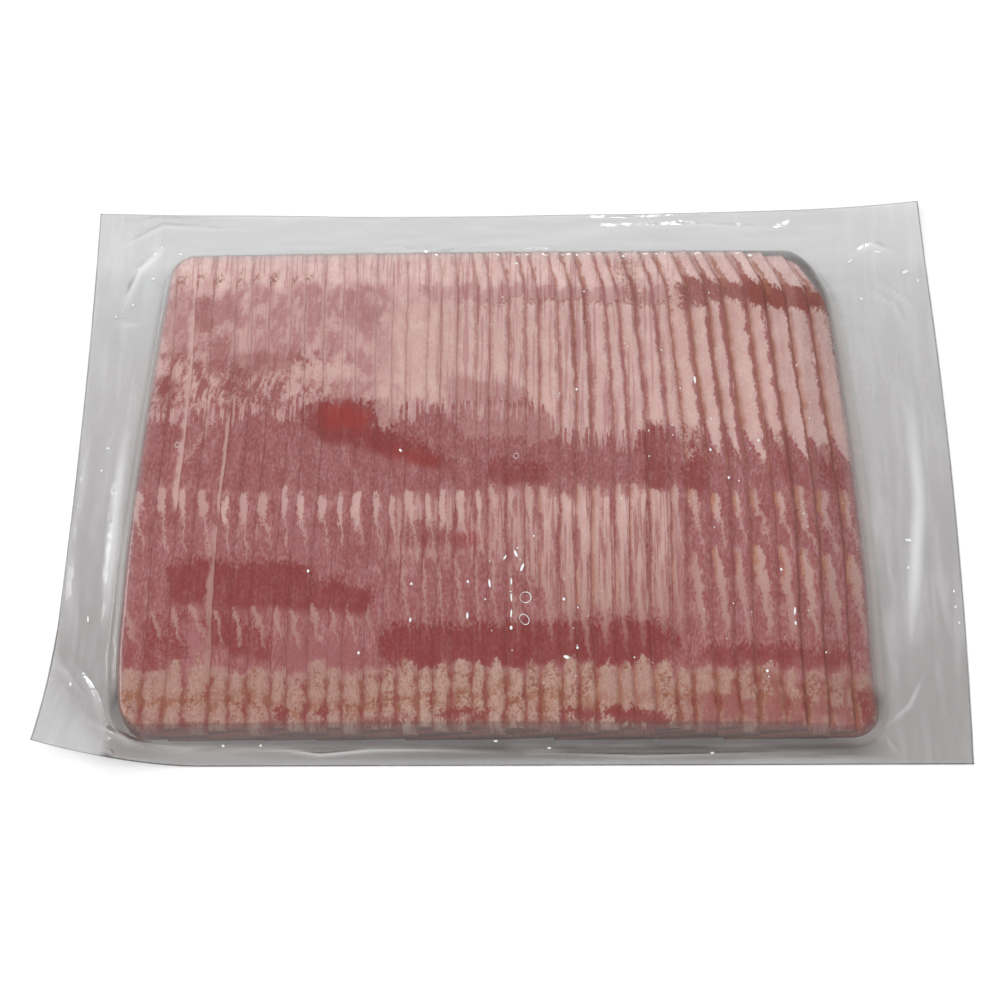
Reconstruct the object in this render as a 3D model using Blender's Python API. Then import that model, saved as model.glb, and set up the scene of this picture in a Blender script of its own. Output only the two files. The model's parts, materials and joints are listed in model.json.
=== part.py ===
"""A flat sealed pack of streaky bacon, as one closed solid.

A long row of rashers lies shingled between two sheets of clear film, which are sealed together all round
as a thin flange. The solid is the outer skin of that pack: every rasher's free edge shows in it as a ridge,
and the last ones step down at the right.

Metres, +Z up. The pack lies on the XY plane, its row of rashers along X and each rasher along Y.
"""

import math

import bmesh
import bpy
import numpy as np

NODE = "sealed_pack"

# Film sheets, sealed together outside the bacon
FILM_WIDTH = 0.424
FILM_DEPTH = 0.300
FLANGE_THICKNESS = 0.0008
LEFT_BOW = 0.0026  # the left edge is drawn in by this at its middle
RIGHT_BOW = 0.0038  # the right edge's corners are drawn in by this
BACK_BOW = 0.0042  # the back edge is drawn in by this at its middle

# The block of bacon inside
BLOCK_LEFT = -0.180
BLOCK_RIGHT = 0.168
BLOCK_FRONT = -0.138
BLOCK_BACK = 0.117
BLOCK_CORNER = 0.013  # radius of its plan corners
WIDEST_Y = -0.060  # where the block is widest
BACK_DRAW = 0.0100  # its sides are drawn in by this at the back
FRONT_DRAW = 0.0050  # its left side is drawn in by this at the front
FRONT_DRAW_START = -0.088
TENT = 0.0055  # the film leaves the flange this far outside the block
SHOULDER = 0.0045  # and lies on the bacon this far inside it

# The rashers
RASHERS = 38
RASHER_THICKNESS = 0.0031
FIRST_STRIP = 0.014  # width of the first rasher's bare strip
PITCHES = (10.6, 8.1, 11.8)  # spacing of the free edges at the left, middle and right, as shares
UNEVEN = 0.0011  # and how uneven it is
HEIGHTS = (0.0142, 0.0158, 0.0138)  # stack height at the left, middle and right
LAST_STEP = 0.0062  # height of the last rasher, which is turned under itself
RIDGE = 0.0006  # a free edge stands this far above the mean height of its strip
CREVICE = 0.0009  # half the width of the dip beside a free edge
WANDER = 0.0011  # free edges wander sideways by this
BACK_SKEW = 0.011  # the last rasher's back end is pushed left by this
SKEW_LENGTH = 0.030

# How the film lies off the table
CURL_HEIGHT = 0.0285  # front left corner
CURL_LENGTH = 0.052  # measured along the pack's diagonal direction
CURL_PULL = 0.0030
CURL_POWER = 1.7
CORNER_LIFT = 0.0040  # back right corner
CORNER_REACH = 0.050
WAVE_HEIGHT = 0.0007  # low waves along the back edge
WAVE_LENGTH = 0.155

# The surface grid
FLANGE_STATIONS = 4
WALL_PLACES = (-0.0025, 0.0009, 0.0045)  # the wall's grid lines, measured inwards from the block's outline
INNER_ROWS = 8
SMOOTH_ANGLE = math.radians(40)


def smooth_step(value):
    """0 below 0, 1 above 1, and an S-curve between."""
    t = np.clip(value, 0.0, 1.0)
    return t * t * (3.0 - 2.0 * t)


def along_row(values, s):
    """A parabola through three values at the row's start, middle and end."""
    first, middle, last = values
    return first * (1 - s) * (1 - 2 * s) + 4 * middle * s * (1 - s) + last * s * (2 * s - 1)


def row_progress(s):
    """Distance along the row at share s of the rashers, 0 to 1, with the spacing of PITCHES."""
    first, middle, last = PITCHES
    covered = first * (s - 1.5 * s**2 + s**3 * 2 / 3) + middle * (2 * s**2 - s**3 * 4 / 3)
    covered += last * (s**3 * 2 / 3 - s**2 / 2)
    return covered * 6 / (first + 4 * middle + last)


def block_left(y):
    """The block's left side: drawn in towards the back, and a little at the front."""
    towards_back = np.clip((y - WIDEST_Y) / (BLOCK_BACK - WIDEST_Y), 0, 1)
    towards_front = np.clip((FRONT_DRAW_START - y) / (FRONT_DRAW_START - BLOCK_FRONT), 0, 1)
    return BLOCK_LEFT + BACK_DRAW * towards_back**1.5 + FRONT_DRAW * towards_front**2


def block_right(y):
    """The block's right side, before its back end leans left."""
    towards_back = np.clip((y - WIDEST_Y) / (BLOCK_BACK - WIDEST_Y), 0, 1)
    return BLOCK_RIGHT - BACK_DRAW * towards_back**1.5


def back_skew(s, y):
    """How far left the back end of the row leans, more towards its right end."""
    reach = smooth_step((y - (BLOCK_BACK - SKEW_LENGTH)) / SKEW_LENGTH * 0.75) / smooth_step(0.75)
    return BACK_SKEW * s**1.5 * reach


def free_edge(index, y):
    """X of a rasher's free right edge at each y."""
    s = index / (RASHERS - 1)
    start = BLOCK_LEFT + FIRST_STRIP
    straight = start + (BLOCK_RIGHT - start) * row_progress(s)
    straight += UNEVEN * math.sin(2.3 * index + 0.4) * min(1.0, 6 * (1 - s))
    drawn_in = (BLOCK_RIGHT - block_right(y)) * smooth_step((s - 0.5) * 2)
    wander = WANDER * math.sin(5.1 * s + 0.7) * np.sin(38.0 * y + 6.0 * s)
    return straight + wander - drawn_in - back_skew(s, y)


def stack_height(index):
    """Mean height of a rasher's exposed strip; the last few step down."""
    s = index / (RASHERS - 1)
    return min(along_row(HEIGHTS, s), LAST_STEP + (RASHERS - 1 - index) * RASHER_THICKNESS)


def film_left(y):
    return -FILM_WIDTH / 2 + LEFT_BOW * (1 - (2 * y / FILM_DEPTH) ** 2)


def film_right(y):
    return FILM_WIDTH / 2 - RIGHT_BOW * (2 * y / FILM_DEPTH) ** 2


def film_back(x):
    return FILM_DEPTH / 2 - BACK_BOW * (1 - (2 * x / FILM_WIDTH) ** 2)


def stations(y):
    """The grid's lines along Y: their x at each y, and the height that the bacon has there."""
    first, last = stack_height(0), stack_height(RASHERS - 1)
    left, right = block_left(y), block_right(y) - back_skew(1.0, y)
    lines = []
    for step in range(FLANGE_STATIONS + 1):
        share = step / FLANGE_STATIONS
        lines.append((film_left(y) * (1 - share) + (left - TENT) * share, first))
    for inwards in WALL_PLACES:
        lines.append((left + inwards, first))
    for index in range(RASHERS):
        if index:
            lines.append((free_edge(index - 1, y) + CREVICE, stack_height(index) - RIDGE))
        if index < RASHERS - 1:
            lines.append((free_edge(index, y) - CREVICE, stack_height(index) + RIDGE))
    for inwards in reversed(WALL_PLACES):
        lines.append((right - inwards, last))
    for step in range(FLANGE_STATIONS + 1):
        share = step / FLANGE_STATIONS
        lines.append(((right + TENT) * (1 - share) + film_right(y) * share, last))
    return lines


def row_places():
    """The grid's y values, closer together at the block's ends and where its back end leans."""
    front = [-FILM_DEPTH / 2, BLOCK_FRONT - TENT]
    front += [BLOCK_FRONT + inwards for inwards in WALL_PLACES]
    front.append(BLOCK_FRONT + BLOCK_CORNER)
    lean = BLOCK_BACK - SKEW_LENGTH
    inner = list(np.linspace(front[-1], lean, INNER_ROWS)[1:])
    back = [lean + SKEW_LENGTH * share for share in (0.3, 0.6)]
    back += [BLOCK_BACK - inwards for inwards in reversed(WALL_PLACES)]
    back.append(BLOCK_BACK + TENT)
    edge = FILM_DEPTH / 2
    back += [back[-1] * (1 - share) + edge * share for share in (0.35, 0.7, 1.0)]
    return np.array(front + inner + back)


def block_cover(x, y):
    """1 on the block, 0 on the flange, and the film's tented slope between the two."""
    s = np.clip((x - BLOCK_LEFT) / (BLOCK_RIGHT - BLOCK_LEFT), 0.0, 1.0)
    left, right = block_left(y), block_right(y)
    across = np.abs(x + back_skew(s, y) - (left + right) / 2) - (right - left) / 2 + BLOCK_CORNER
    along = np.abs(y - (BLOCK_FRONT + BLOCK_BACK) / 2) - (BLOCK_BACK - BLOCK_FRONT) / 2 + BLOCK_CORNER
    outside = np.hypot(np.maximum(across, 0), np.maximum(along, 0)) + np.minimum(np.maximum(across, along), 0)
    inside = BLOCK_CORNER - outside
    return smooth_step((inside + TENT) / (TENT + SHOULDER))


def off_table(x, y):
    """How far the film's underside is off the table, and how far the curled corner is drawn in."""
    from_corner = ((x + FILM_WIDTH / 2) + (y + FILM_DEPTH / 2)) / math.sqrt(2)
    curl = np.clip(1 - from_corner / CURL_LENGTH, 0, 1)
    to_back_right = np.hypot(FILM_WIDTH / 2 - x, FILM_DEPTH / 2 - y)
    corner = np.clip(1 - to_back_right / CORNER_REACH, 0, 1) ** 2
    tent_foot = BLOCK_BACK + TENT
    near_back = np.clip((y - tent_foot) / (FILM_DEPTH / 2 - tent_foot), 0, 1) ** 2
    wave = np.maximum(np.sin(2 * math.pi * (x / WAVE_LENGTH + 0.05)), 0) * near_back
    height = CURL_HEIGHT * curl**CURL_POWER + CORNER_LIFT * corner + WAVE_HEIGHT * wave
    return height, CURL_PULL * curl**2


def surface_points():
    """The film's underside and outer side, as two grids of points indexed [station, row, axis]."""
    rows = row_places()
    lines = stations(rows)
    x = np.array([places for places, _ in lines])
    bacon = np.array([np.full_like(rows, height) for _, height in lines])
    y = np.tile(rows, (len(lines), 1))
    room = np.clip((y - (BLOCK_BACK + TENT)) / (FILM_DEPTH / 2 - BLOCK_BACK - TENT), 0, 1)
    cover = block_cover(x, y)
    y = y - (FILM_DEPTH / 2 - film_back(x)) * room
    lift, pull = off_table(x, y)
    x, y = x + pull, y + pull
    under = np.stack([x, y, lift], axis=-1)
    over = under.copy()
    over[..., 2] += FLANGE_THICKNESS + (bacon - FLANGE_THICKNESS) * cover
    return under, over


def add_sheet(mesh, points, upwards):
    """Adds one grid of points as quads and returns its vertices."""
    vertices = [[mesh.verts.new(point) for point in line] for line in points]
    for i in range(len(vertices) - 1):
        for j in range(len(vertices[0]) - 1):
            corners = [vertices[i][j], vertices[i + 1][j], vertices[i + 1][j + 1], vertices[i][j + 1]]
            mesh.faces.new(corners if upwards else corners[::-1])
    return vertices


def rim_of(vertices):
    """The vertices round a grid, anticlockwise seen from above."""
    front = [line[0] for line in vertices]
    right = vertices[-1][1:]
    back = [line[-1] for line in vertices[-2::-1]]
    left = vertices[0][-2:0:-1]
    return front + list(right) + back + list(left)


def merge_flat_underside(mesh):
    """Joins the underside's faces that lie on the table into one, then cuts it into well-shaped triangles."""

    def on_table(face):
        return all(abs(vertex.co.z) < 1e-7 for vertex in face.verts)

    inner = [edge for edge in mesh.edges if len(edge.link_faces) == 2 and all(map(on_table, edge.link_faces))]
    bmesh.ops.dissolve_edges(mesh, edges=inner, use_verts=False)
    flat = [face for face in mesh.faces if on_table(face)]
    bmesh.ops.triangulate(mesh, faces=flat, quad_method="BEAUTY", ngon_method="BEAUTY")


def film_material():
    material = bpy.data.materials.new("clear_film")
    material.use_nodes = True
    shader = material.node_tree.nodes["Principled BSDF"]
    shader.inputs["Base Color"].default_value = (0.60, 0.36, 0.34, 1.0)
    shader.inputs["Roughness"].default_value = 0.22
    shader.inputs["Metallic"].default_value = 0.0
    return material


def build_pack():
    under, over = surface_points()
    mesh = bmesh.new()
    lower = add_sheet(mesh, under, upwards=False)
    upper = add_sheet(mesh, over, upwards=True)
    low_rim, high_rim = rim_of(lower), rim_of(upper)
    for i, corner in enumerate(low_rim):
        after = (i + 1) % len(low_rim)
        mesh.faces.new([corner, low_rim[after], high_rim[after], high_rim[i]])
    merge_flat_underside(mesh)
    data = bpy.data.meshes.new(NODE)
    mesh.to_mesh(data)
    mesh.free()
    data.materials.append(film_material())
    data.shade_smooth()
    data.set_sharp_from_angle(angle=SMOOTH_ANGLE)
    pack = bpy.data.objects.new(NODE, data)
    bpy.context.scene.collection.objects.link(pack)


def main():
    for old in list(bpy.data.objects):
        bpy.data.objects.remove(old)
    build_pack()


main()
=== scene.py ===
"""A flat sealed pack of streaky bacon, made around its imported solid.

Thirty-eight rashers lie shingled in one long row, each over the next to its right, inside two sheets of clear
film that are sealed together all round. One rule gives every rasher's surface, and the film is draped over them.

Metres, +Z up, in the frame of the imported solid. Patterns are laid out in millimetres on the same axes.
"""

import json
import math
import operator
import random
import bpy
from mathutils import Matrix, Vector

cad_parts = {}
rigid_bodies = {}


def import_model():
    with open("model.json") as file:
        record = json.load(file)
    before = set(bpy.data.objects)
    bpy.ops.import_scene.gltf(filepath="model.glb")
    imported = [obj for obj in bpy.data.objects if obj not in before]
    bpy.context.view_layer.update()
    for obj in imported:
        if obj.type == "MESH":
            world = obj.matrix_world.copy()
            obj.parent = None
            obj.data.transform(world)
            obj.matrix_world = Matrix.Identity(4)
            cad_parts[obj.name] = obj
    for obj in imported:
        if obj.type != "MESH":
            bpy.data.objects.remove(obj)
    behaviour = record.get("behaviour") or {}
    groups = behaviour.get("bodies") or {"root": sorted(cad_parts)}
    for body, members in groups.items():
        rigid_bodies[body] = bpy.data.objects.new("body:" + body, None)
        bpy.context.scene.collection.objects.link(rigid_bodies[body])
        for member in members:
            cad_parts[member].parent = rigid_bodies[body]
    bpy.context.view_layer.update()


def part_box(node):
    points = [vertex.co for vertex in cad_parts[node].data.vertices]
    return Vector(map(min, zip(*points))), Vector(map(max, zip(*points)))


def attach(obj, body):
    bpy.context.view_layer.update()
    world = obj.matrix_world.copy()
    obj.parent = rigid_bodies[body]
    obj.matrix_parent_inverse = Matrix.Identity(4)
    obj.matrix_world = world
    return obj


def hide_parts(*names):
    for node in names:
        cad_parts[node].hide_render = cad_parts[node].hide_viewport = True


bl_info = {
    "name": "Bacon Pack",
    "version": (1, 0, 0),
    "blender": (4, 5, 0),
    "location": "3D View > Sidebar > Bacon Pack",
    "description": "Builds a sealed pack of shingled bacon rashers",
    "category": "Add Mesh",
}

import bpy
from mathutils import Matrix, Vector

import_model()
NODE = "sealed_pack"
PACK_LOW, PACK_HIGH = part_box(NODE)

# The film's outline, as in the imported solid
FILM_WIDTH = PACK_HIGH.x - PACK_LOW.x
FILM_DEPTH = PACK_HIGH.y - PACK_LOW.y
LEFT_BOW = 0.0026
RIGHT_BOW = 0.0038
BACK_BOW = 0.0042

# The block's outline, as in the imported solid
BLOCK_LEFT = -0.180
BLOCK_RIGHT = 0.168
BLOCK_FRONT = -0.138
BLOCK_BACK = 0.117
BLOCK_CORNER = 0.013
WIDEST_Y = -0.060
BACK_DRAW = 0.0100
FRONT_DRAW = 0.0050
FRONT_DRAW_START = -0.088
TENT = 0.0055
SHOULDER = 0.0045

# How the row is spaced and leans
PITCHES = (10.6, 8.1, 11.8)
UNEVEN = 0.0011
WANDER = 0.0011
RAGGED = 0.0011
BACK_SKEW = 0.011
SKEW_LENGTH = 0.030

# How the film lies off the table
CURL_LENGTH = 0.052
CURL_PULL = 0.0030
CURL_POWER = 1.7
CORNER_LIFT = 0.0040
CORNER_REACH = 0.050
WAVE_HEIGHT = 0.0007
WAVE_LENGTH = 0.155

MM = 1000.0
MERGE = 0.000002


# --- Values and trees -------------------------------------------------------------------------------------


PLAIN = {
    "ADD": operator.add,
    "SUBTRACT": operator.sub,
    "MULTIPLY": operator.mul,
    "DIVIDE": operator.truediv,
    "POWER": operator.pow,
    "MINIMUM": min,
    "MAXIMUM": max,
    "ABSOLUTE": abs,
    "SINE": math.sin,
    "SQRT": math.sqrt,
    "LESS_THAN": lambda a, b: float(a < b),
    "GREATER_THAN": lambda a, b: float(a > b),
}


def maths(operation, *operands):
    """A Math node if an operand is a socket's value, and otherwise the plain result."""
    tree = next((each.tree for each in operands if isinstance(each, Value)), None)
    if tree is None:
        return PLAIN[operation](*operands)
    return tree.node("ShaderNodeMath", {"operation": operation}, dict(enumerate(operands)))


class Value:
    """One output in a node tree. Arithmetic on it adds Math nodes to that tree."""

    def __init__(self, tree, socket):
        self.tree = tree
        self.socket = socket

    def __add__(self, other):
        return maths("ADD", self, other)

    def __radd__(self, other):
        return maths("ADD", other, self)

    def __sub__(self, other):
        return maths("SUBTRACT", self, other)

    def __rsub__(self, other):
        return maths("SUBTRACT", other, self)

    def __mul__(self, other):
        return maths("MULTIPLY", self, other)

    def __rmul__(self, other):
        return maths("MULTIPLY", other, self)

    def __truediv__(self, other):
        return maths("DIVIDE", self, other)

    def __rtruediv__(self, other):
        return maths("DIVIDE", other, self)

    def __pow__(self, other):
        return maths("POWER", self, other)

    def __abs__(self):
        return maths("ABSOLUTE", self)


class Tree:
    """A node tree filled from Python."""

    def __init__(self, tree):
        self.tree = tree

    def node(self, kind, settings=None, inputs=None, output=0):
        """Adds a node, sets it, feeds its inputs, and gives one of its outputs."""
        made = self.tree.nodes.new(kind)
        for name, value in (settings or {}).items():
            setattr(made, name, value)
        for key, value in (inputs or {}).items():
            self.feed(made.inputs[key], value)
        return Value(self, made.outputs[output])

    def feed(self, socket, value):
        if isinstance(value, Value):
            self.tree.links.new(value.socket, socket)
        elif socket.type == "RGBA":
            socket.default_value = (*value[:3], 1.0)
        else:
            socket.default_value = value

    def split(self, vector):
        """The x, y and z of a vector."""
        made = self.node("ShaderNodeSeparateXYZ", None, {0: vector}).socket.node
        return [Value(self, output) for output in made.outputs]

    def join(self, x, y, z=0.0):
        return self.node("ShaderNodeCombineXYZ", None, {0: x, 1: y, 2: z})

    def noise(self, vector, scale=1.0, detail=2.0, roughness=0.5, distortion=0.0):
        """Noise from about 0.2 to 0.8, with 0.5 as its middle."""
        sizes = {"Scale": scale, "Detail": detail, "Roughness": roughness, "Distortion": distortion}
        return self.node("ShaderNodeTexNoise", None, {"Vector": vector, **sizes})

    def finish(self, shader):
        """Ends a material's tree in this shader."""
        result = self.tree.nodes.new("ShaderNodeOutputMaterial")
        self.feed(result.inputs["Surface"], shader)

    def mix(self, factor, first, second):
        """Two colours mixed."""
        return self.node("ShaderNodeMix", {"data_type": "RGBA"}, {0: factor, 6: first, 7: second}, 2)


def least(a, b):
    return maths("MINIMUM", a, b)


def most(a, b):
    return maths("MAXIMUM", a, b)


def clip(value, low=0.0, high=1.0):
    return least(most(value, low), high)


def sine(value):
    return maths("SINE", value)


def root(value):
    return maths("SQRT", value)


def smooth(value, low=0.0, high=1.0):
    """0 below low, 1 above high, and an S-curve between."""
    if isinstance(value, Value):
        ends = {0: value, 1: low, 2: high, 3: 0.0, 4: 1.0}
        return value.tree.node("ShaderNodeMapRange", {"interpolation_type": "SMOOTHSTEP"}, ends)
    t = clip((value - low) / (high - low))
    return t * t * (3 - 2 * t)


def band(value, low, high, soft):
    """1 between low and high, with soft ends of this half width."""
    return smooth(value, low - soft, low + soft) * (1 - smooth(value, high - soft, high + soft))


def ellipse(value):
    """A quarter ellipse: 0 at 0, rising steeply, and level at 1."""
    return root(1 - (1 - clip(value)) ** 2)


# --- The rule of the row ----------------------------------------------------------------------------------


def along_row(values, s):
    """A parabola through three values at the row's start, middle and end."""
    first, middle, last = values
    return first * (1 - s) * (1 - 2 * s) + 4 * middle * s * (1 - s) + last * s * (2 * s - 1)


def row_progress(s):
    """Distance along the row at share s of the rashers, 0 to 1, with the spacing of PITCHES."""
    first, middle, last = PITCHES
    covered = first * (s - 1.5 * s**2 + s**3 * (2 / 3)) + middle * (2 * s**2 - s**3 * (4 / 3))
    covered = covered + last * (s**3 * (2 / 3) - s**2 / 2)
    return covered * (6 / (first + 4 * middle + last))


def side_draw(y):
    """How far the block's sides are drawn in towards its back."""
    towards_back = clip((y - WIDEST_Y) / (BLOCK_BACK - WIDEST_Y))
    return BACK_DRAW * towards_back**1.5


def block_left(y):
    towards_front = clip((FRONT_DRAW_START - y) / (FRONT_DRAW_START - BLOCK_FRONT))
    return side_draw(y) + FRONT_DRAW * towards_front**2 + BLOCK_LEFT


def block_right(y):
    return BLOCK_RIGHT - side_draw(y)


def back_skew(s, y):
    """How far left the back end of the row leans, more towards its right end."""
    start = BLOCK_BACK - SKEW_LENGTH
    reach = smooth((y - start) * (0.75 / SKEW_LENGTH)) / smooth(0.75)
    return BACK_SKEW * most(s, 0.0) ** 1.5 * reach


def inside_block(x, y):
    """Distance inwards from the block's outline, which has round corners; negative outside it."""
    s = clip((x - BLOCK_LEFT) / (BLOCK_RIGHT - BLOCK_LEFT))
    left, right = block_left(y), block_right(y)
    across = abs(x + back_skew(s, y) - (left + right) / 2) - (right - left) / 2 + BLOCK_CORNER
    along = abs(y - (BLOCK_FRONT + BLOCK_BACK) / 2) - (BLOCK_BACK - BLOCK_FRONT) / 2 + BLOCK_CORNER
    corner = root(most(across, 0.0) ** 2 + most(along, 0.0) ** 2)
    return BLOCK_CORNER - corner - least(most(across, along), 0.0)


def film_cover(inside):
    """1 on the block, 0 on the flange, and the film's tented slope between the two."""
    return smooth(inside, -TENT, SHOULDER)


def off_table(x, y, curl_height):
    """How far the film's underside is off the table, and how far the curled corner is drawn in."""
    from_corner = (x + y + (FILM_WIDTH + FILM_DEPTH) / 2) / math.sqrt(2)
    curl = clip(1 - from_corner / CURL_LENGTH)
    to_back_right = root((FILM_WIDTH / 2 - x) ** 2 + (FILM_DEPTH / 2 - y) ** 2)
    corner = clip(1 - to_back_right / CORNER_REACH) ** 2
    tent_foot = BLOCK_BACK + TENT
    near_back = clip((y - tent_foot) / (FILM_DEPTH / 2 - tent_foot)) ** 2
    wave = most(sine((x / WAVE_LENGTH + 0.05) * math.tau), 0.0) * near_back
    height = curl_height * curl**CURL_POWER + CORNER_LIFT * corner + WAVE_HEIGHT * wave
    return height, CURL_PULL * curl**2


class Row:
    """The rashers' surfaces in one tree, from its inputs."""

    def __init__(self, tree, sizes):
        self.tree = tree
        self.count = sizes["Rashers"]
        self.first_strip = sizes["First Strip"]
        self.covered = sizes["Covered Width"]
        self.thickness = sizes["Thickness"]
        self.heights = [sizes["Left Height"], sizes["Middle Height"], sizes["Right Height"]]
        self.last_step = sizes["Last Step"]
        self.ridge = sizes["Ridge"]
        self.crown = sizes["Crown"]

    def share(self, index):
        return index / (self.count - 1)

    def free_edge(self, index, y):
        """X of a rasher's free right edge at each y."""
        s = self.share(index)
        start = BLOCK_LEFT + self.first_strip
        straight = start + (BLOCK_RIGHT - start) * row_progress(s)
        straight = straight + UNEVEN * sine(2.3 * index + 0.4) * clip(6 * (1 - s))
        drawn_in = (BLOCK_RIGHT - block_right(y)) * smooth(s, 0.5, 1.0)
        wander = WANDER * sine(5.1 * s + 0.7) * sine(38.0 * y + 6.0 * s)
        rough = self.tree.noise(self.tree.join(index * 3.7, y * 75.0), detail=4.0, roughness=0.6) - 0.5
        return straight + wander + rough * (2 * RAGGED) - drawn_in - back_skew(s, y)

    def stack_height(self, index):
        """Mean height of a rasher's exposed strip; the last few step down."""
        even = along_row(self.heights, self.share(index)) + 0.00018 * sine(4.7 * index)
        return least(even, self.last_step + (self.count - 1 - index) * self.thickness)

    def across_strip(self, index, x, y):
        """0 beside the rasher before, and 1 at the rasher's own free edge."""
        before = self.free_edge(index - 1, y)
        return (x - before) / (self.free_edge(index, y) - before)

    def top(self, index, x, y):
        """Height of a rasher's upper face: its bare strip, and its slope down under the rashers before it."""
        before = self.free_edge(index - 1, y)
        across = clip((x - before) / (self.free_edge(index, y) - before))
        ridge = self.ridge * (0.55 + 0.45 * smooth(x, -0.07, 0.07))
        low = self.stack_height(index) - ridge
        lump = 1 + 1.4 * (1 - smooth(y, -0.118, -0.104))
        bare = low + 2 * ridge * across + self.crown * lump * 4 * across * (1 - across)
        covered = low * (1 - (before - x) / self.covered)
        return most(least(bare, covered), 0.0)


# --- Settings ---------------------------------------------------------------------------------------------


def length_setting(name, description, default):
    return bpy.props.FloatProperty(
        name=name, description=description, default=default, unit="LENGTH", precision=5, min=0.0
    )


def colour_setting(name, description, default):
    return bpy.props.FloatVectorProperty(
        name=name, description=description, default=default, subtype="COLOR", size=3, min=0.0, max=1.0
    )


def share_setting(name, description, default):
    return bpy.props.FloatProperty(
        name=name, description=description, default=default, subtype="FACTOR", min=0.0, max=1.0
    )


class RowSettings(bpy.types.PropertyGroup):
    """The row of rashers."""

    count: bpy.props.IntProperty(name="Rashers", description="Rashers in the row", default=38, min=4)
    first_strip: length_setting("First Strip", "Bare width of the leftmost rasher", 0.014)
    covered: length_setting("Covered Width", "Width of a rasher that lies under the ones before it", 0.037)
    thickness: length_setting("Thickness", "Height of one step at the row's right end", 0.0031)
    left_height: length_setting("Left Height", "Height of the stack at its left end", 0.0142)
    middle_height: length_setting("Middle Height", "Height of the stack at its middle", 0.0158)
    right_height: length_setting("Right Height", "Height of the stack near its right end", 0.0138)
    last_step: length_setting("Last Step", "Height of the last rasher, which is turned under itself", 0.0062)
    ridge: length_setting("Ridge", "A free edge stands this far above its strip's mean height", 0.0006)
    crown: length_setting("Crown", "A bare strip bulges by this at its middle", 0.00012)
    edge_radius: length_setting("Edge Radius", "Roundness of a free edge", 0.0010)
    edge_flare: share_setting("Edge Flare", "How much a free edge is pressed out to a soft step", 0.85)
    last_radius: length_setting("Last Radius", "Roundness of the last rasher's fold", 0.0030)
    end_radius: length_setting("End Radius", "Roundness of a rasher's two ends", 0.0016)
    raised: length_setting("Raised", "The lowest rashers lie this far above the table", 0.00035)


class MeatSettings(bpy.types.PropertyGroup):
    """The rashers' colours."""

    # The fat is paler at the back ends and darker at the front ends: partly its own tone, partly painted light
    # falling off towards the front.
    back_fat: colour_setting("Back Fat And Light", "Fat at the rashers' back ends", (0.88, 0.69, 0.65))
    strip_fat: colour_setting("Strip Fat", "Fat along the middle of the rashers", (0.76, 0.56, 0.52))
    front_fat: colour_setting("Front Fat And Shade", "Fat at the rashers' front ends", (0.50, 0.31, 0.25))
    # Painted highlight: the lit middles of the bulging fat lumps at the front ends.
    cream: colour_setting("Cream Highlight", "Bulging fat at the front ends", (0.62, 0.44, 0.36))
    blush: colour_setting("Blush", "Fat with fine lean in it", (0.58, 0.32, 0.31))
    mauve: colour_setting("Mauve", "Pale lean under a thin skin of fat", (0.46, 0.19, 0.20))
    rose: colour_setting("Rose", "Plain lean", (0.38, 0.120, 0.117))
    deep: colour_setting("Deep", "Moist dark lean", (0.30, 0.038, 0.034))
    scarlet: colour_setting("Scarlet", "The brightest red in the dark lean", (0.42, 0.040, 0.028))
    smoke: colour_setting("Smoke", "Smoked brown marks", (0.33, 0.108, 0.052))
    amber: colour_setting("Amber", "Orange brown stain on the fat", (0.55, 0.26, 0.14))


class FilmSettings(bpy.types.PropertyGroup):
    """The two sheets of film."""

    clearance: length_setting("Clearance", "Gap between the bacon and the film over it", 0.00030)
    seal_gap: length_setting("Seal Gap", "Distance between the sheets on the flange", 0.00015)
    curl_height: length_setting("Curl Height", "Height of the curled front left corner", 0.0282)
    wrinkles: length_setting("Wrinkles", "Height of the flange's small wrinkles", 0.0007)
    creases: share_setting("Creases", "How much of their height the creases have", 1.0)
    tint: colour_setting("Tint", "Light let through one sheet", (0.95, 0.955, 0.96))
    # The film's milk is painted dark at the front and light at the back: painted light falling off towards the
    # front.
    haze_front: colour_setting("Front Haze And Shade", "The film's milky colour at the front", (0.34, 0.335, 0.33))
    haze_back: colour_setting("Back Haze And Light", "The film's milky colour at the back", (0.80, 0.80, 0.80))
    # Painted highlight: milk whitened on the crease ridges, on the tent beside the block and on the curled corner.
    haze_fold: colour_setting("Highlight Haze", "The film's milky colour where it is stretched", (0.95, 0.95, 0.95))
    haze_meat: colour_setting("Meat Haze", "The film's milky colour beside the meat", (0.58, 0.48, 0.44))
    haze: share_setting("Haze Share", "How milky one loose sheet is", 0.34)
    wet_haze: share_setting("Wet Haze Share", "How milky a sheet is where it lies on the meat", 0.005)
    wet_tint: colour_setting("Wet Tint", "Light let through a sheet on the meat", (0.96, 0.96, 0.96))
    # Painted shade in front of the block's front wall, as a dark brown band on the film, partly brown meat juice.
    stain: colour_setting("Seam Shade And Stain", "The film near the front seam", (0.11, 0.085, 0.07))
    roughness: share_setting("Roughness", "Blur of the film's reflections", 0.12)


class StageSettings(bpy.types.PropertyGroup):
    """Camera, light and floor."""

    elevation: bpy.props.FloatProperty(
        name="Elevation", description="Camera angle above the table", default=math.radians(63.6), subtype="ANGLE"
    )
    yaw: bpy.props.FloatProperty(
        name="Yaw", description="Camera turned to the right", default=math.radians(-3.60), subtype="ANGLE"
    )
    roll: bpy.props.FloatProperty(
        name="Roll", description="Camera tilted sideways", default=math.radians(-3.61), subtype="ANGLE"
    )
    distance: length_setting("Distance", "Camera to the point it looks at", 0.956)
    lens: bpy.props.FloatProperty(name="Lens", description="Focal length", default=72.0, unit="CAMERA")
    floor_colour: colour_setting("Floor", "Colour of the table", (0.93, 0.93, 0.93))


SETTINGS = {"bacon_row": RowSettings, "bacon_meat": MeatSettings, "bacon_film": FilmSettings}
SETTINGS["bacon_stage"] = StageSettings


# --- Making meshes ----------------------------------------------------------------------------------------


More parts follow.
